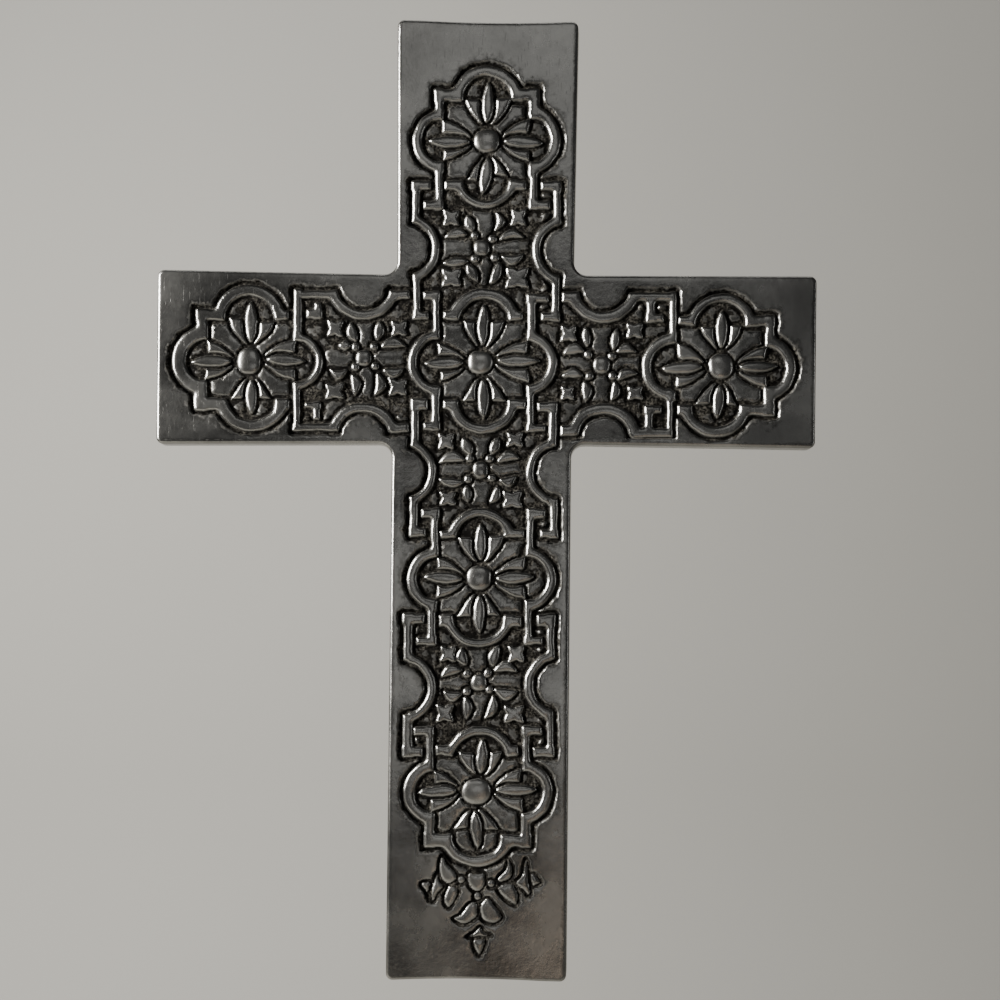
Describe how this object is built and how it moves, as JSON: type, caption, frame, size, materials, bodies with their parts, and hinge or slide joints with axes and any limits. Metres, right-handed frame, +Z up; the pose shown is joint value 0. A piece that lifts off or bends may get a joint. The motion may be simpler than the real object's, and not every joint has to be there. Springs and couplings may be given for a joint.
{
  "type": "wall cross",
  "caption": "Cast aluminium wall cross with flat plain borders, shallow strapwork medallions and flowers on its front, and a plain back.",
  "frame": {"origin": "on the flat back face, straight behind the boss at the crossing", "axes": "+Z up along the shaft to the head, +X to the right seen from the front, the carved front faces -Y and the back faces +Y"},
  "size_m": [0.1989, 0.0058, 0.2895],
  "materials": {
    "cast_aluminium": "sand-cast, darkened in the recesses and rubbed to a satin grey on the high parts"
  },
  "bodies": {
    "root": {"cross": "cast_aluminium"}
  },
  "joints": []
}
